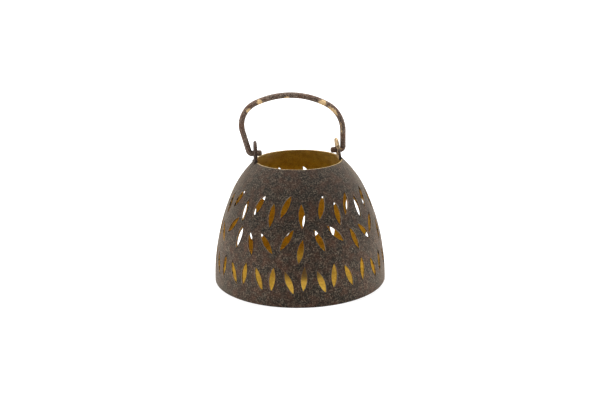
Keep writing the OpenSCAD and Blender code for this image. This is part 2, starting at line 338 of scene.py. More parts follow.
class Wall:
    """The body's wall: two arcs, upright at the foot and tangent where they meet. Their radii
    solve the two equations for the drop in radius and for the height that the leans cover."""

    def __init__(self, sizes):
        a, b = sizes.shoulder_lean, sizes.rim_lean
        inwards = (1 - math.cos(a), math.cos(a) - math.cos(b))
        upwards = (math.sin(a), math.sin(b) - math.sin(a))
        det = inwards[0] * upwards[1] - inwards[1] * upwards[0]
        drop = FOOT_R - sizes.mouth_r
        self.side_r = (drop * upwards[1] - inwards[1] * BODY_H) / det
        self.shoulder_r = (inwards[0] * BODY_H - upwards[0] * drop) / det
        self.lean = a
        self.side_x = FOOT_R - self.side_r
        self.shoulder_x = self.side_x + (self.side_r - self.shoulder_r) * math.cos(a)
        self.shoulder_z = (self.side_r - self.shoulder_r) * math.sin(a)
        self.side_run = self.side_r * a
        self.run = self.side_run + self.shoulder_r * (b - a)
        # table of the climb against the integral of ds / r, which makes turn and climb conformal
        self.climbs = np.linspace(0, self.run, SPREAD_POINTS)
        r = -self.point(0 * self.climbs, self.climbs)[..., 1]
        steps = np.diff(self.climbs) * 2 / (r[1:] + r[:-1])
        self.spread = np.concatenate([[0], np.cumsum(steps)])

    def arc(self, climb):
        """Whether the climb is on the side arc, and the lean there: arc length over radius."""
        side = climb < self.side_run
        return side, np.where(
            side, climb / self.side_r, self.lean + (climb - self.side_run) / self.shoulder_r)

    def point(self, turn, climb, depth=0.0):
        """Place at a turn to the right of the front, a climb along the wall and a depth in it:
        the arc's centre plus (radius - depth) times (cos lean, sin lean), spun about Z."""
        side, lean = self.arc(climb)
        reach = np.where(side, self.side_r, self.shoulder_r) - depth
        r = np.where(side, self.side_x, self.shoulder_x) + reach * np.cos(lean)
        z = np.where(side, 0.0, self.shoulder_z) + reach * np.sin(lean)
        return np.stack([r * np.sin(turn), -r * np.cos(turn), z], -1)

    def climb_at(self, z):
        """Climb at a height on the outside: radius times asin of the height over the radius."""
        side = z < self.side_r * math.sin(self.lean)
        low = self.side_r * np.arcsin(np.clip(z / self.side_r, -1, 1))
        high = np.arcsin(np.clip((z - self.shoulder_z) / self.shoulder_r, -1, 1))
        return np.where(side, low, self.side_run + self.shoulder_r * (high - self.lean))

    def plan(self, turn, climb):
        """Turn and climb laid flat without distortion: a point at exp(-integral of ds / r)."""
        reach = np.exp(-np.interp(climb, self.climbs, self.spread))
        return np.stack([reach * np.sin(turn), -reach * np.cos(turn)], -1)


# Steps along each side of a leaf, points round the wall, and steps of a rounded edge
LEAF_STEPS = 22
WALL_COLUMNS = 208
EDGE_STEPS = 4
# A ring of points guards each slot at this distance, and the even rows of points keep half
# the gap from it
GUARD = 0.8 * MM
FILL_GAP = 1.3 * MM
# Plain strip at the rim and at the foot, and the rounding of the sheet's edge there
HEM = 2 * MM
RIM_ROUNDING = 0.35 * MM
FOOT_ROUNDING = 0.4 * MM
# Waves of the dents: how many in a full turn, radians to the metre up the wall, and start
DENT_WAVES = ((5, 90, 0), (11, -150, 2), (17, 210, 4))
# Points of the plan that lie closer than this count as one
PLAN_TOLERANCE = 1e-9
# Places of the materials on the body
COAT, LACQUER, FILED_EDGE, SLOT_WALL = range(4)


def leaf_outline(length, width, spread):
    """Two equal arcs that meet in tips, moved out by spread: radius R + spread about centres at
    R - width / 2 either side, where R = (length^2 + width^2) / (4 width)."""
    radius = (length ** 2 + width ** 2) / (4 * width)
    centre = radius - width / 2
    spread = np.asarray(spread, float)[..., None]
    half = np.arccos(centre / (radius + spread))
    t = np.linspace(-1, 1, LEAF_STEPS + 1)[:-1]
    x = (radius + spread) * np.cos(half * t) - centre
    y = (radius + spread) * np.sin(half * t)
    return np.concatenate([x, -x], -1), np.concatenate([y, -y], -1)


def on_wall(wall, leaves, x, y):
    """Turn and climb of points x, y in the leaves' own planes: each is turned by the leaf's lean,
    then x runs round the wall and y up it."""
    turn, climb, lean = [leaves[:, i].reshape(-1, *[1] * (x.ndim - 1)) for i in range(3)]
    across = x * np.cos(lean) + y * np.sin(lean)
    up = y * np.cos(lean) - x * np.sin(lean)
    r = np.linalg.norm(wall.point(0 * (climb + up), climb + up)[..., :2], axis=-1)
    return turn + across / r, climb + up


def leaf_rings(wall, leaves, sizes, spread):
    """Turn and climb of every leaf's outline, moved out by a spread or by each of a row of them."""
    spreads = np.broadcast_to(spread, (len(leaves), *np.shape(spread)))
    return on_wall(wall, leaves, *leaf_outline(sizes.leaf_l, sizes.leaf_w, spreads))


def near_leaf(wall, leaves, sizes, turn, climb, spread):
    """Whether each point lies in any leaf moved out by spread: within both of its arcs."""
    radius = (sizes.leaf_l ** 2 + sizes.leaf_w ** 2) / (4 * sizes.leaf_w)
    r = np.linalg.norm(wall.point(turn, climb)[..., :2], axis=-1)[:, None]
    away = (turn[:, None] - leaves[:, 0] + math.pi) % (2 * math.pi) - math.pi
    across, up = away * r, climb[:, None] - leaves[:, 1]
    lean = leaves[:, 2]
    x = across * np.cos(lean) - up * np.sin(lean)
    y = across * np.sin(lean) + up * np.cos(lean)
    reach = np.hypot(np.abs(x) + radius - sizes.leaf_w / 2, y)
    return (reach < radius + spread).any(1)


def dents(turn, climb, depth, run):
    """Shallow dents: a sum of waves round and up the wall, moved to lie between none and the
    depth, that fades out at both edges."""
    waves = sum(np.sin(swings * turn + rise * climb + start) for swings, rise, start in DENT_WAVES)
    fade = np.sin(math.pi * np.clip(climb / run, 0, 1)) ** 2
    count = len(DENT_WAVES)
    return depth * fade * (waves + count) / (2 * count)


def dented(wall, sizes, turn, climb, depth):
    """Place on the wall at a depth in the sheet, pushed in by the dents."""
    return wall.point(turn, climb, depth + dents(turn, climb, sizes.dent, wall.run))


def wall_points(wall, leaves, sizes):
    """Turn and climb of all points of the plan, in this order: a ring at the foot and one at the
    rim, the outline of every slot, its guard ring, and even staggered rows, whose steps up and
    round make equal-sided triangles in the plan."""
    foot, rim = HEM, wall.run - HEM
    around = circle(WALL_COLUMNS)
    slot_turn, slot_climb = leaf_rings(wall, leaves, sizes, sizes.roll)
    guard = np.stack(leaf_rings(wall, leaves, sizes, sizes.roll + GUARD)).reshape(2, -1)
    clear = ~near_leaf(wall, leaves, sizes, *guard, sizes.roll + GUARD / 2)
    guard = guard[:, clear & (guard[1] > foot) & (guard[1] < rim)]
    low, high = np.interp([foot, rim], wall.climbs, wall.spread)
    row_step = 2 * math.pi / WALL_COLUMNS * math.sqrt(3) / 2
    row_count = round((high - low) / row_step)
    rows = np.interp(np.linspace(low, high, row_count + 1)[1:-1], wall.spread, wall.climbs)
    staggered = np.repeat(np.arange(len(rows)) % 2 == 0, WALL_COLUMNS)
    fill = np.stack([
        np.tile(around, len(rows)) + staggered * math.pi / WALL_COLUMNS,
        np.repeat(rows, WALL_COLUMNS)])
    fill = fill[:, ~near_leaf(wall, leaves, sizes, *fill, sizes.roll + GUARD + FILL_GAP / 2)]
    turn = np.concatenate([np.tile(around, 2), slot_turn.ravel(), guard[0], fill[0]])
    climb = np.concatenate([
        np.repeat([foot, rim], WALL_COLUMNS), slot_climb.ravel(), guard[1], fill[1]])
    return turn, climb


def cut_skin(plan, outlines):
    """Triangles of the plan between its outlines, which are the foot, the rim and the slots. A
    triangle lies in a slot or in the mouth if all its corners are on that one outline."""
    edges = np.concatenate([np.stack([ring, np.roll(ring, -1)], -1) for ring in outlines])
    points, _, faces, origins, _, _ = delaunay_2d_cdt(
        plan.tolist(), edges.tolist(), [], 0, PLAN_TOLERANCE)
    if len(points) != len(plan):
        raise RuntimeError("the plan of the wall has points that coincide or outlines that cross")
    skin = np.array(origins)[:, 0][np.array(faces)]
    corners = plan[skin]
    ab, ac = corners[:, 1] - corners[:, 0], corners[:, 2] - corners[:, 0]
    turned = ab[:, 0] * ac[:, 1] - ab[:, 1] * ac[:, 0] < 0
    skin[turned] = skin[turned][:, ::-1]
    outline = np.full(len(plan), -1)
    for number, ring in enumerate(outlines[1:]):
        outline[ring] = number
    owner = outline[skin]
    in_hole = (owner[:, 0] >= 0) & (owner[:, 0] == owner[:, 1]) & (owner[:, 1] == owner[:, 2])
    return skin[~in_hole]


def slot_walls(wall, leaves, sizes, slots, count):
    """Walls of the slots: a quarter arc of the roll, the cut, and a quarter arc of the burr. They
    join the slots' outlines outside to the same points inside, which are numbered count later.
    These quads are wound to face the metal, against both skins."""
    quarter = np.linspace(0, math.pi / 2, EDGE_STEPS + 1)[1:]
    inner_quarter = quarter[:-1:2]
    spreads = np.concatenate([
        sizes.roll * (1 - np.sin(quarter)), sizes.burr * (1 - np.cos(inner_quarter))])
    depths = np.concatenate([
        sizes.roll * (1 - np.cos(quarter)),
        sizes.sheet - sizes.burr * (1 - np.sin(inner_quarter))])
    turn, climb = leaf_rings(wall, leaves, sizes, spreads)
    rings = dented(wall, sizes, turn, climb, depths[None, :, None])
    ring_ids = 2 * count + np.arange(turn.size).reshape(turn.shape)
    ids = np.concatenate([slots[:, None], ring_ids, slots[:, None] + count], 1)
    ahead = np.roll(ids, -1, 2)
    quads = np.stack([ids[:, :-1], ids[:, 1:], ahead[:, 1:], ahead[:, :-1]], -1)
    strip = np.broadcast_to(np.arange(ids.shape[1] - 1)[None, :, None], quads.shape[:3])
    materials = np.where(strip < EDGE_STEPS, COAT, SLOT_WALL)
    return rings.reshape(-1, 3), quads.reshape(-1, 4), materials.ravel()


def sheet_edge(wall, sizes, at_rim, ring, count, start):
    """The sheet's edge at the rim or at the foot: its section from the outside to the inside,
    with both corners rounded, spun about Z. Its own points are numbered from start."""
    climb = wall.run - HEM if at_rim else HEM
    height, rounding = (BODY_H, RIM_ROUNDING) if at_rim else (0.0, FOOT_ROUNDING)
    outer_r = sizes.mouth_r if at_rim else FOOT_R
    inner_r = outer_r - (sizes.sheet / math.cos(sizes.rim_lean) if at_rim else sizes.sheet)
    ends = wall.point(np.zeros(2), np.full(2, climb), np.array([0, sizes.sheet]))
    section = filleted(
        [(-ends[0, 1], ends[0, 2]), (outer_r, height), (inner_r, height),
         (-ends[1, 1], ends[1, 2])], [rounding, rounding], EDGE_STEPS)[1:-1]
    around = circle(WALL_COLUMNS)
    spun = np.stack([
        section[:, :1] * np.sin(around), section[:, :1] * -np.cos(around),
        np.broadcast_to(section[:, 1:], (len(section), WALL_COLUMNS))], -1)
    own = start + np.arange(spun[..., 0].size).reshape(-1, WALL_COLUMNS)
    ids = np.concatenate([ring[None], own, ring[None] + count])
    ahead = np.roll(ids, -1, 1)
    quads = np.stack([ids[:-1], ahead[:-1], ahead[1:], ids[1:]], -1)
    strip = np.repeat(np.arange(len(ids) - 1), WALL_COLUMNS)
    last = len(ids) - 2
    if at_rim:
        filed = np.where(strip < last, FILED_EDGE, LACQUER)
        materials = np.where(strip < EDGE_STEPS - 1, COAT, filed)
    else:
        quads = quads[..., ::-1]
        materials = np.where(strip < last, COAT, LACQUER)
    return spun.reshape(-1, 3), quads.reshape(-1, 4), materials


def pierced_shell(sizes):
    """The body as one closed surface: a flat plan of turn and climb is cut into triangles round
    the leaf outlines, lifted on to the outside and the inside of the wall, and closed with the
    walls of the slots, the rim and the foot."""
    wall = Wall(sizes)
    leaves = all_leaves() * [math.radians(1), MM, math.radians(1)]
    leaves[:, 1] = wall.climb_at(leaves[:, 1])
    turn, climb = wall_points(wall, leaves, sizes)
    count = len(turn)
    foot, rim = np.arange(2 * WALL_COLUMNS).reshape(2, -1)
    slots = 2 * WALL_COLUMNS + np.arange(len(leaves) * 2 * LEAF_STEPS).reshape(len(leaves), -1)
    skin = cut_skin(wall.plan(turn, climb), [foot, rim, *slots])
    outside = dented(wall, sizes, turn, climb, 0)
    turn[slots], climb[slots] = leaf_rings(wall, leaves, sizes, sizes.burr)
    inside = dented(wall, sizes, turn, climb, sizes.sheet)
    parts = [slot_walls(wall, leaves, sizes, slots, count)]
    for at_rim, ring in ((True, rim), (False, foot)):
        start = 2 * count + sum(len(part[0]) for part in parts)
        parts.append(sheet_edge(wall, sizes, at_rim, ring, count, start))
    points, quads, materials = zip(*parts)
    return mesh_piece(
        "pierced_body", np.concatenate([outside, inside, *points]), np.concatenate(quads),
        np.concatenate([skin, skin[:, ::-1] + count]), np.concatenate(materials),
        np.repeat([COAT, LACQUER], len(skin)))


# Points round the pan, steps across its floor and round its bends, and its flange's rounding
PAN_COLUMNS = 192
PAN_FLOOR_STEPS = 11
PAN_ARC_STEPS = 6
PAN_EDGE = 0.3 * MM


def pan(sizes):
    """The base pan: the outline of its section, filleted, and spun about Z."""
    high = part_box("base_pan")[1]
    r, h, t = high.x, high.z, sizes.sheet
    section = filleted(
        [(0, t), (r - t, t), (r - t, h), (r, h), (r, 0), (0, 0)],
        [sizes.bend_r - t, PAN_EDGE, PAN_EDGE, sizes.bend_r], PAN_ARC_STEPS)
    inner = np.linspace(0, section[1, 0], PAN_FLOOR_STEPS + 1)[1:-1]
    rings = np.concatenate([
        np.stack([inner, np.full(len(inner), t)], -1), section[1:-1],
        np.stack([inner[::-1], np.zeros(len(inner))], -1)])
    turn = circle(PAN_COLUMNS)
    spun = np.stack([
        rings[:, :1] * np.cos(turn), rings[:, :1] * np.sin(turn),
        np.broadcast_to(rings[:, 1:], (len(rings), PAN_COLUMNS))], -1)
    count = len(rings) * PAN_COLUMNS
    points = np.concatenate([spun.reshape(-1, 3), [[0, 0, t], [0, 0, 0]]])
    first = np.arange(PAN_COLUMNS)
    last = first + (len(rings) - 1) * PAN_COLUMNS
    triangles = np.concatenate([
        np.stack([first, np.roll(first, -1), np.full(PAN_COLUMNS, count)], -1),
        np.stack([np.roll(last, -1), last, np.full(PAN_COLUMNS, count + 1)], -1)])
    # lacquer inside and over the flange's top, up to the arc of its outer edge
    rank = np.repeat(np.arange(len(rings) - 1), PAN_COLUMNS)
    flange_top = len(inner) + 2 * (PAN_ARC_STEPS + 1)
    return mesh_piece(
        "base_pan_skin", points, grid_faces(len(rings), PAN_COLUMNS), triangles,
        np.where(rank < flange_top, 0, 1), np.repeat([0, 1], PAN_COLUMNS))


# Steps of an ear's outline between two of its corners, across a face, and round an edge
EAR_STEPS = 24
EAR_FACE_STEPS = 5
EAR_EDGE_STEPS = 3
# Rounding of an ear's edges, and how far its foot sinks below the rim's height
EAR_EDGE = 0.5 * MM
EAR_SINK = 0.5 * MM
# Wear of both inner faces, the most wear of each ear's other faces, where less than none
# darkens the coat, and the height above the rim at which they reach it
INNER_WEAR = 0.56
LEFT_WEAR = -0.52
RIGHT_WEAR = 0.55
WEAR_RISE = 10 * MM


def ear(name, sizes, side, foot, lean, most_wear):
    """An ear: rays from the pivot hole meet the outline (straight sides, a round top, a flat
    foot). Along each ray the section runs from the hole over the outer face to the edge and back
    over the inner face, with every edge rounded. The inner face is half worn bare; the rest is
    dark at the foot and wears with the height above it, up to the most wear."""
    half, top = sizes.width / 2, sizes.height - sizes.width / 2
    t = sizes.plate / 2
    hole_h = (PIVOT_Z - BODY_H) / math.cos(lean)
    below = hole_h + EAR_SINK
    corner = math.atan2(half, below)
    shoulder = math.atan2(half, top - hole_h)
    marks = [0, corner, math.pi - shoulder, math.pi + shoulder, 2 * math.pi - corner, 2 * math.pi]
    angle = np.concatenate([
        np.linspace(a, b, EAR_STEPS, endpoint=False) for a, b in zip(marks, marks[1:])])
    # measured from straight down: across = sin, up = -cos
    across, up = np.sin(angle), -np.cos(angle)
    with np.errstate(divide="ignore"):
        to_side = half / np.abs(across)
        to_foot = np.where(up < 0, below / -up, np.inf)
    rise = top - hole_h
    to_top = up * rise + np.sqrt(np.maximum(half ** 2 - (across * rise) ** 2, 0))
    over = up * np.minimum(to_side, 1) > rise
    reach = np.minimum(np.where(over, to_top, to_side), to_foot)
    # section as (share of the way from hole to outline, shift along the ray, height off the middle)
    quarter = np.linspace(0, math.pi / 2, EAR_EDGE_STEPS + 1)
    shift, height = EAR_EDGE * (1 - np.sin(quarter)), t - EAR_EDGE * (1 - np.cos(quarter))
    bore = np.stack([np.zeros(len(quarter)), shift, height], -1)[::-1]
    share = np.linspace(0, 1, EAR_FACE_STEPS + 1)[1:-1]
    face = np.stack([share, np.zeros(len(share)), np.full(len(share), t)], -1)
    rim = np.stack([np.ones(len(quarter)), -shift, height], -1)
    front = np.concatenate([bore, face, rim])
    section = np.concatenate([front, front[::-1] * [1, 1, -1]])
    out = sizes.hole_r + section[:, :1] * (reach - sizes.hole_r) + section[:, 1:2]
    u, v = out * across, out * up + hole_h
    w = np.broadcast_to(section[:, 2:], u.shape)
    points = np.stack([
        side * (foot + w * math.cos(lean) - v * math.sin(lean)), side * u,
        BODY_H + v * math.cos(lean) + w * math.sin(lean)], -1).reshape(-1, 3)
    quads = grid_faces(len(section), len(angle), close_rows=True)
    outer_wear = np.minimum(v * (1 + most_wear) / WEAR_RISE - 1, most_wear)
    wear = np.where(w < -0.95 * t, INNER_WEAR, outer_wear)
    return worn(mesh_piece(name, points, quads), wear.ravel())


# Rings along a weld bead, and points round it
BEAD_ROWS = 39
BEAD_COLUMNS = 20
# How far a bead stops short of the ear's corners, how soon it reaches its full radius, and how
# much and how fast that swells along it
BEAD_SHORT = 0.4 * MM
BEAD_FULL = 1.2
BEAD_SWELL = 0.1
BEAD_WAVES = 9


def weld_bead(name, sizes, side, foot):
    """A weld bead along an ear's foot: a rounded bar whose radius swells and shrinks along it.
    The quads of its side are wound to face inwards, and the triangles of its ends outwards."""
    half = sizes.width / 2 - BEAD_SHORT
    t = np.linspace(-math.pi / 2, math.pi / 2, BEAD_ROWS + 2)
    along = np.sin(t) * half
    radius = sizes.bead_r * np.minimum(1, np.sqrt(np.cos(t)) * BEAD_FULL)
    radius = radius * (1 + BEAD_SWELL * np.sin(along / half * BEAD_WAVES + side))
    turn = circle(BEAD_COLUMNS)
    x, z = side * (foot + sizes.plate / 2), BODY_H - sizes.bead_r / 2
    rings = np.stack([
        side * (foot + sizes.plate / 2 + radius[1:-1, None] * np.cos(turn)),
        np.broadcast_to(along[1:-1, None], (BEAD_ROWS, BEAD_COLUMNS)),
        z + radius[1:-1, None] * np.sin(turn)], -1)
    points = np.concatenate([rings.reshape(-1, 3), [[x, -half, z], [x, half, z]]])
    count = BEAD_ROWS * BEAD_COLUMNS
    first = np.arange(BEAD_COLUMNS)
    last = first + count - BEAD_COLUMNS
    triangles = np.concatenate([
        np.stack([np.roll(first, -1), first, np.full(BEAD_COLUMNS, count)], -1),
        np.stack([last, np.roll(last, -1), np.full(BEAD_COLUMNS, count + 1)], -1)])
    quads = grid_faces(BEAD_ROWS, BEAD_COLUMNS)
    if side > 0:
        triangles, quads = triangles[:, ::-1], quads[:, ::-1]
    return mesh_piece(name, points, quads, triangles)


# Points round the rod, steps of its rounded ends, and steps along it and along its foot bends
ROD_COLUMNS = 32
TIP_STEPS = 6
ROD_STEP = 0.8 * MM
BEND_STEP = 0.35 * MM
# The rod's radius shrinks by up to twice this share, in waves of so many radians to the metre,
# except near its ends
ROD_RIPPLE = 0.012
ROD_WAVES = 330
PLAIN_END = 12 * MM


def arc_points(centre, radius, start, end, step=ROD_STEP):
    """Points along an arc from one direction to another, its first point left out."""
    count = max(10, math.ceil(abs(end - start) * radius / step))
    angle = np.linspace(start, end, count + 1)[1:]
    return np.array(centre) + radius * np.stack([np.cos(angle), np.sin(angle)], -1)


def line_points(start, end):
    """Points along a line, its first point left out."""
    count = math.ceil(np.linalg.norm(np.subtract(end, start)) / ROD_STEP)
    t = np.linspace(0, 1, count + 1)[1:, None]
    return np.array(start) * (1 - t) + np.array(end) * t


def rod_side(sizes, side, hole, face, play, lean, shoulder_r, nub):
    """Half of the rod's middle line, from its end inside the ear to the crown, and the crown's
    direction there: a line along the pivot, the foot bend, the arm and the shoulder, each tangent
    to the next, with the shoulder touching the crown from inside."""
    bend = sizes.foot_bend_r
    crown = np.array([-sizes.crown_left, sizes.rise - sizes.crown_r])
    corner = np.array([side * (face + play + bend * math.tan(math.pi / 4 - lean / 2)), 0])
    along = np.array([side * math.sin(lean), math.cos(lean)])
    inward = np.array([-side * math.cos(lean), math.sin(lean)])
    run = bend * (1 - math.sin(lean)) / math.cos(lean)
    bend_c = corner + bend * inward + run * along
    q = corner + shoulder_r * inward - crown
    b, reach = q @ along, sizes.crown_r - shoulder_r
    arm = -b + math.sqrt(b * b - q @ q + reach * reach)
    shoulder_c = corner + shoulder_r * inward + arm * along
    v = shoulder_c - crown
    arm_turn = math.pi + lean if side < 0 else -lean
    crown_turn = math.atan2(v[1], v[0])
    down = 1.5 * math.pi if side < 0 else -0.5 * math.pi
    end_x = side * (hole - (face - hole) - nub)
    rounded = sizes.nub_round * (1 - np.cos(np.linspace(0, math.pi / 2, TIP_STEPS + 1)))
    tip = np.stack([end_x + side * rounded, np.zeros(len(rounded))], -1)
    line = [tip, line_points(tip[-1], (bend_c[0], 0)),
            arc_points(bend_c, bend, down, arm_turn, BEND_STEP),
            line_points(corner + run * along, corner + arm * along),
            arc_points(shoulder_c, shoulder_r, arm_turn, crown_turn)]
    return np.concatenate(line), crown_turn


# Where the coat has worn off the rod: how far along the rod from its left end, as a share of its
# length, the patch's half length in mm, its direction round the rod in degrees from the top to
# the front, its half width round it in degrees, and how bare it is.
ROD_WEAR = (
    (0.010, 3.0, 20, 70, 0.5), (0.284, 3.6, 120, 50, 0.85), (0.353, 2.9, 105, 80, 1.0),
    (0.488, 2.6, 140, 55, 0.9), (0.666, 4.3, 108, 85, 1.0), (0.732, 6.5, 125, 58, 0.95),
    (0.835, 13.0, 130, 38, 0.55), (0.948, 3.0, 110, 50, 0.5))


def rod_path(sizes, ears, mouth_r):
    """The rod's whole middle line: its left side, the crown, and its right side turned round."""
    left_foot = mouth_r - ears.left_in
    right_foot = mouth_r - ears.right_in
    right_hole = right_foot - (PIVOT_Z - BODY_H) * math.tan(ears.right_lean)
    left, left_turn = rod_side(
        sizes, -1, left_foot, left_foot + ears.plate / 2, sizes.left_play, sizes.left_lean,
        sizes.left_shoulder_r, sizes.left_nub)
    right, right_turn = rod_side(
        sizes, 1, right_hole, right_hole + ears.plate / 2 / math.cos(ears.right_lean),
        sizes.right_play, 0.0, sizes.right_shoulder_r, sizes.right_nub)
    crown = arc_points(
        (-sizes.crown_left, sizes.rise - sizes.crown_r), sizes.crown_r, left_turn, right_turn)
    return np.concatenate([left, crown, right[-2::-1]])


def rod_wear(run, turn):
    """Wear along and round the rod: the most of the patches, each of which falls off as
    exp(-x^2) along the rod and round it."""
    degrees = np.degrees(turn)
    wear = np.zeros((len(run), len(turn)))
    for share, half, direction, width, bare in ROD_WEAR:
        along = (run / run[-1] - share) * run[-1] / (half * MM)
        off = ((degrees - direction + 180) % 360 - 180) / width
        wear = np.maximum(wear, bare * np.exp(-along[:, None] ** 2 - off[None] ** 2))
    return wear


def rod(sizes, ears, mouth_r):
    """The handle: a circle carried along the middle line on its normal and the Y direction, with
    rounded ends whose radius follows a quarter arc, and a wear value at every vertex. The quads
    of its side are wound to face inwards, and the triangles of its ends outwards."""
    path = rod_path(sizes, ears, mouth_r)
    tangent = np.gradient(path, axis=0)
    tangent /= np.linalg.norm(tangent, axis=1)[:, None]
    # both ends run straight along the pivot, where the closely spaced tip has no slope of its own
    tangent[:TIP_STEPS + 2], tangent[-TIP_STEPS - 2:] = (-1, 0), (-1, 0)
    outward = np.stack([-tangent[:, 1], tangent[:, 0]], -1)
    run = np.concatenate([[0], np.cumsum(np.linalg.norm(np.diff(path, axis=0), axis=1))])
    nub = sizes.nub_round
    end = np.minimum(np.minimum(run, run[-1] - run), nub)
    radius = sizes.rod_r - nub + np.sqrt(nub ** 2 - (nub - end) ** 2)
    rippled = (run > PLAIN_END) * (run < run[-1] - PLAIN_END)
    radius *= 1 - ROD_RIPPLE * (1 + np.sin(run * ROD_WAVES)) * rippled
    turn = circle(ROD_COLUMNS)
    # direction 0 is up or outwards, 90 degrees to the front, 180 degrees down or inwards
    up, front = np.cos(turn), np.sin(turn)
    ring = np.stack([
        path[:, :1] + radius[:, None] * outward[:, :1] * up,
        np.broadcast_to(-radius[:, None] * front, (len(path), ROD_COLUMNS)),
        PIVOT_Z + path[:, 1:] + radius[:, None] * outward[:, 1:] * up], -1)
    count = len(path) * ROD_COLUMNS
    tips = [[path[0, 0], 0, PIVOT_Z], [path[-1, 0], 0, PIVOT_Z]]
    points = np.concatenate([ring.reshape(-1, 3), tips])
    first = np.arange(ROD_COLUMNS)
    last = first + count - ROD_COLUMNS
    triangles = np.concatenate([
        np.stack([first, np.roll(first, -1), np.full(ROD_COLUMNS, count)], -1)[:, ::-1],
        np.stack([last, np.roll(last, -1), np.full(ROD_COLUMNS, count + 1)], -1)])
    piece = mesh_piece("handle_rod", points, grid_faces(len(path), ROD_COLUMNS), triangles)
    return worn(piece, np.append(rod_wear(run, turn).ravel(), [0, 0]))


# ---------------------------------------------------------------- materials

# Sizes of the patterns in mm. Grit and sprayed flecks are a few tenths of a millimetre across,
# which is too fine to show in the render, so they are drawn about 1 mm coarse.
COAT_GRIT = 1.1
COAT_SWELLS = 4
COAT_BLOTS = 4.5
COAT_RUST = 7
COAT_SHADE = 45
LACQUER_FLECKS = 1.1
LACQUER_CLOUDS = 6
FILE_STREAKS = 1.5
OVERSPRAY = 2.5
ROD_GRIT = 1.0
ROD_BREAKS = 1.8
ROD_RUST = 5
# A painted shadow of the handle on the pan: its middle in mm, how far from there it is darkest
# and how far it reaches, and its level where it is darkest
HANDLE_SHADOW_MIDDLE = (5, 10, 1)
HANDLE_SHADOW_DARKEST = 15
HANDLE_SHADOW_REACH = 31
HANDLE_SHADOW_LEVEL = 0.34
# Painted shade that darkens towards the mouth: the heights in mm where it starts and where it
# is darkest, and its level there
COAT_PAINTED_SHADE = (15, 95, 0.6)
LACQUER_PAINTED_SHADE = (45, 100, 0.5)
# Settings of the Mix node that multiplies two colours
MULTIPLY = {"data_type": "RGBA", "blend_type": "MULTIPLY"}


def linear(colour):
    """An sRGB hex value such as #A8842F as a linear colour with alpha."""
    value = np.array([int(colour[i:i + 2], 16) for i in (1, 3, 5)]) / 255
    low, high = value / 12.92, ((value + 0.055) / 1.055) ** 2.4
    return (*np.where(value <= 0.04045, low, high).tolist(), 1.0)


def socket(sockets, key):
    """A socket by its identifier, its name or its place."""
    if isinstance(key, int):
        return sockets[key]
    return next(s for s in sockets if key in (s.identifier, s.name))


def add(tree, kind, inputs=None, stops=(), **settings):
    """Adds a node with its settings and links. An input is a value, or a (node, output) pair to
    link. The stops of a colour ramp are pairs of a position and an sRGB hex value or a grey."""
    node = tree.nodes.new(kind)
    for name, value in settings.items():
        setattr(node, name, value)
    for key, value in (inputs or {}).items():
        if isinstance(value, tuple) and isinstance(value[0], bpy.types.Node):
            tree.links.new(socket(value[0].outputs, value[1]), socket(node.inputs, key))
        else:
            socket(node.inputs, key).default_value = value
    if stops:
        elements = node.color_ramp.elements
        while len(elements) < len(stops):
            elements.new(0.5)
        for element, (position, colour) in zip(elements, stops):
            element.position = position
            element.color = linear(colour) if isinstance(colour, str) else (colour,) * 3 + (1,)
    return node


def per_metre(size_mm):
    """Scale of a noise whose features are so many millimetres across."""
    return 1 / (size_mm * MM)


def sooted(tree, place, colour, low_mm, high_mm, level):
    """A colour darkened by painted shade, from none at one height to the level at another."""
    height = add(tree, "ShaderNodeSeparateXYZ", {0: place})
    shade_level = add(tree, "ShaderNodeMapRange", {
        "Value": (height, "Z"), "From Min": low_mm * MM, "From Max": high_mm * MM,
        "To Min": 1.0, "To Max": level}, interpolation_type="SMOOTHSTEP")
    return add(tree, "ShaderNodeMix", {
        "Factor_Float": 1.0, "A_Color": colour, "B_Color": (shade_level, "Result")}, **MULTIPLY)


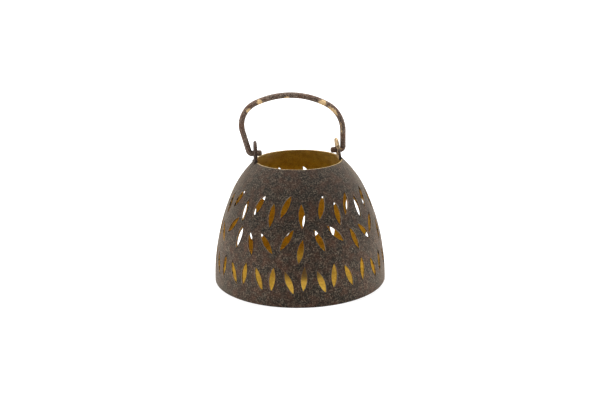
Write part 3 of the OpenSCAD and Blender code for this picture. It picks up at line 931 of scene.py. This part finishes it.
def rusted_steel_waxed(tree, look):
    """Rusted sheet steel under a matt wax coat: sandy to the eye, with grains that were rubbed
    pale or left dark, darker blots of 4.5 mm, warm rust in 7 mm patches, low swells of 4 mm,
    and painted shade that darkens it towards the mouth."""
    place = (add(tree, "ShaderNodeTexCoord"), "Object")
    grit = add(tree, "ShaderNodeTexNoise", {
        "Vector": place, "Scale": per_metre(COAT_GRIT), "Detail": 2, "Roughness": 0.7})
    patches = add(tree, "ShaderNodeTexNoise", {
        "Vector": place, "Scale": per_metre(COAT_RUST), "Detail": 3, "Roughness": 0.6})
    broad = add(tree, "ShaderNodeTexNoise", {
        "Vector": place, "Scale": per_metre(COAT_SHADE), "Detail": 2, "Roughness": 0.5})
    grains = add(
        tree, "ShaderNodeValToRGB", {"Fac": (grit, "Fac")},
        [(0.36, look.coat_dark), (0.50, look.coat), (0.68, look.coat_light)])
    rusty = add(tree, "ShaderNodeValToRGB", {"Fac": (patches, "Fac")}, [(0.42, 0.0), (0.66, 0.5)])
    warm = add(tree, "ShaderNodeMix", {
        "Factor_Float": (rusty, "Color"), "A_Color": (grains, "Color"),
        "B_Color": linear(look.coat_rust)}, data_type="RGBA")
    shade = add(tree, "ShaderNodeValToRGB", {"Fac": (broad, "Fac")}, [(0.35, 0.85), (0.65, 1.0)])
    blots = add(tree, "ShaderNodeTexNoise", {
        "Vector": place, "Scale": per_metre(COAT_BLOTS), "Detail": 2, "Roughness": 0.6})
    blotted = add(tree, "ShaderNodeValToRGB", {"Fac": (blots, "Fac")}, [(0.36, 0.62), (0.6, 1.0)])
    both = add(tree, "ShaderNodeMix", {
        "Factor_Float": 1.0, "A_Color": (blotted, "Color"), "B_Color": (shade, "Color")},
        **MULTIPLY)
    shaded = add(tree, "ShaderNodeMix", {
        "Factor_Float": 1.0, "A_Color": (warm, "Result_Color"),
        "B_Color": (both, "Result_Color")}, **MULTIPLY)
    # painted shade: the coat darkens towards the mouth, where the top lamps light it most
    colour = sooted(tree, place, (shaded, "Result_Color"), *COAT_PAINTED_SHADE)
    rough = add(tree, "ShaderNodeValToRGB", {"Fac": (grit, "Fac")}, [(0.3, 0.95), (0.7, 0.8)])
    swells = add(tree, "ShaderNodeTexNoise", {
        "Vector": place, "Scale": per_metre(COAT_SWELLS), "Detail": 2, "Roughness": 0.5})
    low_bump = add(tree, "ShaderNodeBump", {
        "Height": (swells, "Fac"), "Strength": 0.5, "Distance": 0.25 * MM})
    bump = add(tree, "ShaderNodeBump", {
        "Height": (grit, "Fac"), "Normal": (low_bump, "Normal"), "Strength": 0.9,
        "Distance": 0.3 * MM})
    return add(tree, "ShaderNodeBsdfPrincipled", {
        "Base Color": (colour, "Result_Color"), "Roughness": (rough, "Color"),
        "Normal": (bump, "Normal"), "Metallic": 0.0, "IOR": 1.5, "Specular IOR Level": 0.2,
        "Sheen Weight": 0.35, "Sheen Roughness": 0.45, "Sheen Tint": linear(look.coat_sheen)})


def gold_lacquered_steel(tree, look):
    """Gold lacquer brushed over steel: clear amber varnish on bright metal, with 6 mm sooty
    clouds, flecks from the spray, and a painted shadow of the handle on the pan. Painted shade
    darkens it towards the mouth."""
    place = (add(tree, "ShaderNodeTexCoord"), "Object")
    clouds = add(tree, "ShaderNodeTexNoise", {
        "Vector": place, "Scale": per_metre(LACQUER_CLOUDS), "Detail": 3, "Roughness": 0.6})
    spray = add(tree, "ShaderNodeTexNoise", {
        "Vector": place, "Scale": per_metre(LACQUER_FLECKS), "Detail": 3, "Roughness": 0.7})
    gold = add(
        tree, "ShaderNodeValToRGB", {"Fac": (clouds, "Fac")},
        [(0.35, look.lacquer_dull), (0.6, look.lacquer)])
    flecks = add(tree, "ShaderNodeValToRGB", {"Fac": (spray, "Fac")}, [(0.36, 0.6), (0.52, 1.0)])
    flecked = add(tree, "ShaderNodeMix", {
        "Factor_Float": 1.0, "A_Color": (gold, "Color"), "B_Color": (flecks, "Color")},
        **MULTIPLY)
    # painted shadow of the handle on the pan, darkest round its middle
    from_shadow_middle = add(tree, "ShaderNodeVectorMath", {
        0: place, 1: tuple(mm * MM for mm in HANDLE_SHADOW_MIDDLE)}, operation="DISTANCE")
    handle_shadow = add(tree, "ShaderNodeMapRange", {
        "Value": (from_shadow_middle, "Value"), "From Min": HANDLE_SHADOW_DARKEST * MM,
        "From Max": HANDLE_SHADOW_REACH * MM, "To Min": HANDLE_SHADOW_LEVEL, "To Max": 1.0},
        interpolation_type="SMOOTHSTEP")
    shadowed = add(tree, "ShaderNodeMix", {
        "Factor_Float": 1.0, "A_Color": (flecked, "Result_Color"),
        "B_Color": (handle_shadow, "Result")}, **MULTIPLY)
    # painted shade: the lacquer inside darkens towards the mouth
    colour = sooted(tree, place, (shadowed, "Result_Color"), *LACQUER_PAINTED_SHADE)
    rough = add(tree, "ShaderNodeValToRGB", {"Fac": (clouds, "Fac")}, [(0.3, 0.5), (0.7, 0.36)])
    bump = add(tree, "ShaderNodeBump", {
        "Height": (spray, "Fac"), "Strength": 0.3, "Distance": 0.1 * MM})
    return add(tree, "ShaderNodeBsdfPrincipled", {
        "Base Color": (colour, "Result_Color"), "Roughness": (rough, "Color"),
        "Normal": (bump, "Normal"), "Metallic": 0.3, "Specular IOR Level": 0.25})


def filed_steel_edge(tree, look):
    """Cut edge of the sheet: steel filed bright and touched with lacquer, streaked every
    1.5 mm by the file."""
    place = (add(tree, "ShaderNodeTexCoord"), "Object")
    streaks = add(tree, "ShaderNodeTexNoise", {
        "Vector": place, "Scale": per_metre(FILE_STREAKS), "Detail": 2, "Roughness": 0.5})
    colour = add(
        tree, "ShaderNodeValToRGB", {"Fac": (streaks, "Fac")},
        [(0.35, look.cut_edge_dull), (0.6, look.cut_edge)])
    rough = add(tree, "ShaderNodeValToRGB", {"Fac": (streaks, "Fac")}, [(0.3, 0.6), (0.7, 0.4)])
    bump = add(tree, "ShaderNodeBump", {
        "Height": (streaks, "Fac"), "Strength": 0.3, "Distance": 0.1 * MM})
    return add(tree, "ShaderNodeBsdfPrincipled", {
        "Base Color": (colour, "Color"), "Roughness": (rough, "Color"),
        "Normal": (bump, "Normal"), "Metallic": 0.4})


def oversprayed_slot_wall(tree, look):
    """Walls of the punched slots: the dark coat with a thin overspray of gold lacquer, which
    reached them in patches of about 2.5 mm."""
    place = (add(tree, "ShaderNodeTexCoord"), "Object")
    spray = add(tree, "ShaderNodeTexNoise", {
        "Vector": place, "Scale": per_metre(OVERSPRAY), "Detail": 3, "Roughness": 0.6})
    colour = add(
        tree, "ShaderNodeValToRGB", {"Fac": (spray, "Fac")},
        [(0.40, look.coat), (0.58, look.slot_wall)])
    bump = add(tree, "ShaderNodeBump", {
        "Height": (spray, "Fac"), "Strength": 0.4, "Distance": 0.1 * MM})
    return add(tree, "ShaderNodeBsdfPrincipled", {
        "Base Color": (colour, "Color"), "Normal": (bump, "Normal"), "Roughness": 0.75,
        "Metallic": 0.0, "Specular IOR Level": 0.25})


def handled_steel(tree, look):
    """Hot-bent steel rod with the same waxed rust, handled until brass-bright patches show:
    the piece's own wear value, broken up by 1.8 mm noise, uncovers them. Below zero the value
    darkens the coat."""
    place = (add(tree, "ShaderNodeTexCoord"), "Object")
    grit = add(tree, "ShaderNodeTexNoise", {
        "Vector": place, "Scale": per_metre(ROD_GRIT), "Detail": 2, "Roughness": 0.7})
    blotches = add(tree, "ShaderNodeTexNoise", {
        "Vector": place, "Scale": per_metre(ROD_RUST), "Detail": 2, "Roughness": 0.6})
    grains = add(
        tree, "ShaderNodeValToRGB", {"Fac": (grit, "Fac")},
        [(0.32, look.rod_dark), (0.50, look.rod), (0.70, look.rod_light)])
    rusty = add(tree, "ShaderNodeValToRGB", {"Fac": (blotches, "Fac")}, [(0.4, 0.0), (0.7, 0.6)])
    warm = add(tree, "ShaderNodeMix", {
        "Factor_Float": (rusty, "Color"), "A_Color": (grains, "Color"),
        "B_Color": linear(look.coat_rust)}, data_type="RGBA")
    wear = add(tree, "ShaderNodeAttribute", attribute_name="wear")
    broken = add(tree, "ShaderNodeTexNoise", {
        "Vector": place, "Scale": per_metre(ROD_BREAKS), "Detail": 3, "Roughness": 0.6})
    total = add(tree, "ShaderNodeMath", {0: (wear, "Fac"), 1: (broken, "Fac")}, operation="ADD")
    half = add(tree, "ShaderNodeMath", {0: (total, 0), 1: 0.5}, operation="MULTIPLY")
    bare = add(tree, "ShaderNodeValToRGB", {"Fac": (half, 0)}, [(0.45, 0.0), (0.58, 1.0)])
    # below zero the wear darkens the coat: the ears are darker towards the foot, the left one all
    # over
    darkening = add(tree, "ShaderNodeMapRange", {
        "Value": (wear, "Fac"), "From Min": -1.0, "From Max": 0.0, "To Min": 0.15, "To Max": 1.0})
    darkened_coat = add(tree, "ShaderNodeMix", {
        "Factor_Float": 1.0, "A_Color": (warm, "Result_Color"), "B_Color": (darkening, "Result")},
        **MULTIPLY)
    colour = add(tree, "ShaderNodeMix", {
        "Factor_Float": (bare, "Color"), "A_Color": (darkened_coat, "Result_Color"),
        "B_Color": linear(look.bare)}, data_type="RGBA")
    rough = add(tree, "ShaderNodeValToRGB", {"Fac": (half, 0)}, [(0.4, 0.85), (0.6, 0.55)])
    bump = add(tree, "ShaderNodeBump", {
        "Height": (grit, "Fac"), "Strength": 0.5, "Distance": 0.2 * MM})
    metal = add(tree, "ShaderNodeValToRGB", {"Fac": (half, 0)}, [(0.45, 0.0), (0.58, 0.4)])
    return add(tree, "ShaderNodeBsdfPrincipled", {
        "Base Color": (colour, "Result_Color"), "Roughness": (rough, "Color"),
        "Metallic": (metal, "Color"), "Normal": (bump, "Normal"), "Specular IOR Level": 0.25})


def finished(piece, *finishes):
    """Gives a piece its materials. Each has the name of the function that builds its nodes and
    returns its shader, and is made the first time that a piece asks for it."""
    for finish in finishes:
        name = finish.__name__
        if name not in bpy.data.materials:
            material = bpy.data.materials.new(name)
            material.use_nodes = True
            tree = material.node_tree
            tree.nodes.clear()
            shader = finish(tree, bpy.context.scene.lantern_finishes)
            add(tree, "ShaderNodeOutputMaterial", {"Surface": (shader, 0)})
        piece.data.materials.append(bpy.data.materials[name])


def dress(piece, body, slot, *finishes):
    """Gives a piece its materials and its body. Its slot of the record is not used."""
    finished(piece, *finishes)
    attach(piece, body)


# ---------------------------------------------------------------- stage

# Half the floor's side in metres, and how far it lies below the foot
FLOOR_HALF = 12.0
FLOOR_DROP = 0.02 * MM
# Distances from the middle in metres between which the floor's glow rises, and its levels there
GLOW_NEAR, GLOW_FAR = 0.15, 0.9
GLOW_LOW, GLOW_HIGH = 0.3, 0.9
# Lamps: name, place in metres, side in metres, and the setting that holds the power
LAMPS = (
    ("lamp_top_left", (-0.45, 0, 0.9), 0.2, "top_power"),
    ("lamp_top_right", (0.45, 0, 0.9), 0.2, "top_power"),
    ("lamp_top_back", (0, 0.4, 0.9), 0.2, "top_power"),
    ("lamp_left", (-0.8, 0, 0.22), 0.6, "side_power"),
    ("lamp_right", (0.8, 0, 0.22), 0.6, "side_power"))
# Width of the camera's sensor, and the nearest and farthest that it sees, in metres
SENSOR_MM = 36
NEAREST, FARTHEST = 0.01, 100


def area_lamp(name, place, size, power):
    """A square soft lamp at a place, turned to face the middle of the body."""
    lamp = bpy.data.lights.new(name, "AREA")
    lamp.shape, lamp.size, lamp.energy = "SQUARE", size, power
    holder = bpy.data.objects.new(name, lamp)
    holder.location = place
    sight = Vector((0, 0, BODY_H / 2)) - Vector(place)
    holder.rotation_euler = sight.to_track_quat("-Z", "Y").to_euler()
    bpy.context.scene.collection.objects.link(holder)


def seen_directly(tree):
    """1 on camera, glossy and transmission rays, 0 on the rest."""
    path = add(tree, "ShaderNodeLightPath")
    either = add(tree, "ShaderNodeMath", {
        0: (path, "Is Camera Ray"), 1: (path, "Is Glossy Ray")}, operation="MAXIMUM")
    return add(tree, "ShaderNodeMath", {
        0: (either, 0), 1: (path, "Is Transmission Ray")}, operation="MAXIMUM")


def white_floor_paint(tree, look):
    """Matt white paint on the floor. Away from the lantern the lamps reach it less, and there a
    direct look sees it lit to white, by a glow that rises softly from 0.15 m to 0.9 m from the
    middle."""
    seen = seen_directly(tree)
    paint = add(tree, "ShaderNodeBsdfPrincipled", {
        "Base Color": linear(look.floor), "Roughness": 0.9, "Specular IOR Level": 0.1})
    place = (add(tree, "ShaderNodeTexCoord"), "Object")
    away = add(tree, "ShaderNodeVectorMath", {0: place}, operation="LENGTH")
    lift = add(tree, "ShaderNodeMapRange", {
        "Value": (away, "Value"), "From Min": GLOW_NEAR, "From Max": GLOW_FAR,
        "To Min": GLOW_LOW, "To Max": GLOW_HIGH}, interpolation_type="SMOOTHSTEP")
    level = add(tree, "ShaderNodeMath", {0: (seen, 0), 1: (lift, "Result")}, operation="MULTIPLY")
    glow = add(tree, "ShaderNodeEmission", {"Color": linear("#FFFFFF"), "Strength": (level, 0)})
    return add(tree, "ShaderNodeAddShader", {0: (paint, 0), 1: (glow, 0)})


def white_floor():
    """A wide square floor, just below the foot."""
    corners = FLOOR_HALF * np.array([[-1, -1, 0], [1, -1, 0], [1, 1, 0], [-1, 1, 0]])
    floor = mesh_piece("floor", corners - [0, 0, FLOOR_DROP], np.array([[0, 1, 2, 3]]))
    finished(floor, white_floor_paint)


def soft_world(ambient):
    """Even light from all round, which a direct look sees as white."""
    world = bpy.data.worlds.new("studio")
    world.use_nodes = True
    tree = world.node_tree
    tree.nodes.clear()
    seen = seen_directly(tree)
    level = add(tree, "ShaderNodeMapRange", {"Value": (seen, 0), "To Min": ambient, "To Max": 1.0})
    back = add(tree, "ShaderNodeBackground", {
        "Color": linear("#FFFFFF"), "Strength": (level, "Result")})
    add(tree, "ShaderNodeOutputWorld", {"Surface": (back, 0)})
    bpy.context.scene.world = world


def placed_camera(view):
    """A camera on the line of azimuth and elevation through the aim point, rolled about it."""
    data = bpy.data.cameras.new("camera")
    data.lens, data.sensor_width = view.lens, SENSOR_MM
    data.clip_start, data.clip_end = NEAREST, FARTHEST
    camera = bpy.data.objects.new("camera", data)
    a, e, r = view.azimuth, view.elevation, view.roll
    right = Vector((math.cos(a), math.sin(a), 0))
    back = Vector((math.sin(a) * math.cos(e), -math.cos(a) * math.cos(e), math.sin(e)))
    up = back.cross(right)
    across = right * math.cos(r) + up * math.sin(r)
    upward = up * math.cos(r) - right * math.sin(r)
    turn = Matrix((across, upward, back)).transposed()
    aim = right * view.aim_x + Vector((0, 0, view.aim_z))
    camera.matrix_world = Matrix.Translation(aim + back * view.distance) @ turn.to_4x4()
    bpy.context.scene.collection.objects.link(camera)
    bpy.context.scene.camera = camera


# ---------------------------------------------------------------- operators


class MakeBody(bpy.types.Operator):
    """Build the pierced body in place of the plain one"""

    bl_idname = "lantern.make_body"
    bl_label = "Pierced body"

    def execute(self, context):
        piece = pierced_shell(context.scene.lantern_body)
        dress(piece, "lantern", "rust_coat", rusted_steel_waxed, gold_lacquered_steel,
              filed_steel_edge, oversprayed_slot_wall)
        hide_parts("body_shell")
        return {"FINISHED"}


class MakePan(bpy.types.Operator):
    """Build the base pan with its rounded bend"""

    bl_idname = "lantern.make_pan"
    bl_label = "Base pan"

    def execute(self, context):
        piece = pan(context.scene.lantern_pan)
        dress(piece, "lantern", "gold_lacquer", gold_lacquered_steel, rusted_steel_waxed)
        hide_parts("base_pan")
        return {"FINISHED"}


class MakeEars(bpy.types.Operator):
    """Build the two ears and the weld beads at their feet"""

    bl_idname = "lantern.make_ears"
    bl_label = "Ears and welds"

    def execute(self, context):
        sizes = context.scene.lantern_ears
        for side, word, inset, lean, most_wear in (
                (-1, "left", sizes.left_in, 0.0, LEFT_WEAR),
                (1, "right", sizes.right_in, sizes.right_lean, RIGHT_WEAR)):
            foot = context.scene.lantern_body.mouth_r - inset
            piece = ear(f"ear_{word}_plate", sizes, side, foot, lean, most_wear)
            dress(piece, "lantern", "rust_coat", handled_steel)
            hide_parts(f"ear_{word}")
            bead = weld_bead(f"ear_{word}_weld", sizes, side, foot)
            dress(bead, "lantern", "rust_coat", rusted_steel_waxed)
        return {"FINISHED"}


class MakeHandle(bpy.types.Operator):
    """Build the bent rod handle with its worn patches"""

    bl_idname = "lantern.make_handle"
    bl_label = "Rod handle"

    def execute(self, context):
        scene = context.scene
        piece = rod(scene.lantern_handle, scene.lantern_ears, scene.lantern_body.mouth_r)
        dress(piece, "handle", "rust_coat", handled_steel)
        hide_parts("bail_handle")
        return {"FINISHED"}


class MakeStage(bpy.types.Operator):
    """Set up the floor, the soft lamps, the surroundings and the camera"""

    bl_idname = "lantern.make_stage"
    bl_label = "Stage"

    def execute(self, context):
        view = context.scene.lantern_view
        white_floor()
        soft_world(view.ambient)
        for name, place, size, power in LAMPS:
            area_lamp(name, place, size, getattr(view, power))
        placed_camera(view)
        context.scene.view_settings.view_transform = "Standard"
        return {"FINISHED"}


class LanternPanel(bpy.types.Panel):
    """Lists the steps that build the lantern, and its sizes and colours"""

    bl_idname = "VIEW3D_PT_lantern"
    bl_label = "Lantern"
    bl_space_type = "VIEW_3D"
    bl_region_type = "UI"
    bl_category = "Lantern"

    def draw(self, context):
        for step in STEPS:
            self.layout.operator(step.bl_idname)
        for name in SETTINGS:
            group = getattr(context.scene, name)
            column = self.layout.column(align=True)
            for key in group.__annotations__:
                column.prop(group, key)


SETTINGS = {
    "lantern_body": BodySizes, "lantern_pan": PanSizes, "lantern_ears": EarSizes,
    "lantern_handle": HandleSizes, "lantern_finishes": Finishes, "lantern_view": ViewSizes}
STEPS = (MakeBody, MakePan, MakeEars, MakeHandle, MakeStage)
CLASSES = (*SETTINGS.values(), *STEPS, LanternPanel)


def register():
    """Registers the classes and gives the scene its groups of settings."""
    for cls in CLASSES:
        bpy.utils.register_class(cls)
    for name, group in SETTINGS.items():
        setattr(bpy.types.Scene, name, PointerProperty(type=group))


def unregister():
    """Takes the settings and the classes away again."""
    for name in SETTINGS:
        delattr(bpy.types.Scene, name)
    for cls in reversed(CLASSES):
        bpy.utils.unregister_class(cls)


def main():
    """Builds the lantern and its stage step by step."""
    register()
    for step in STEPS:
        group, name = step.bl_idname.split(".")
        getattr(getattr(bpy.ops, group), name)()


if __name__ == "__main__":
    main()
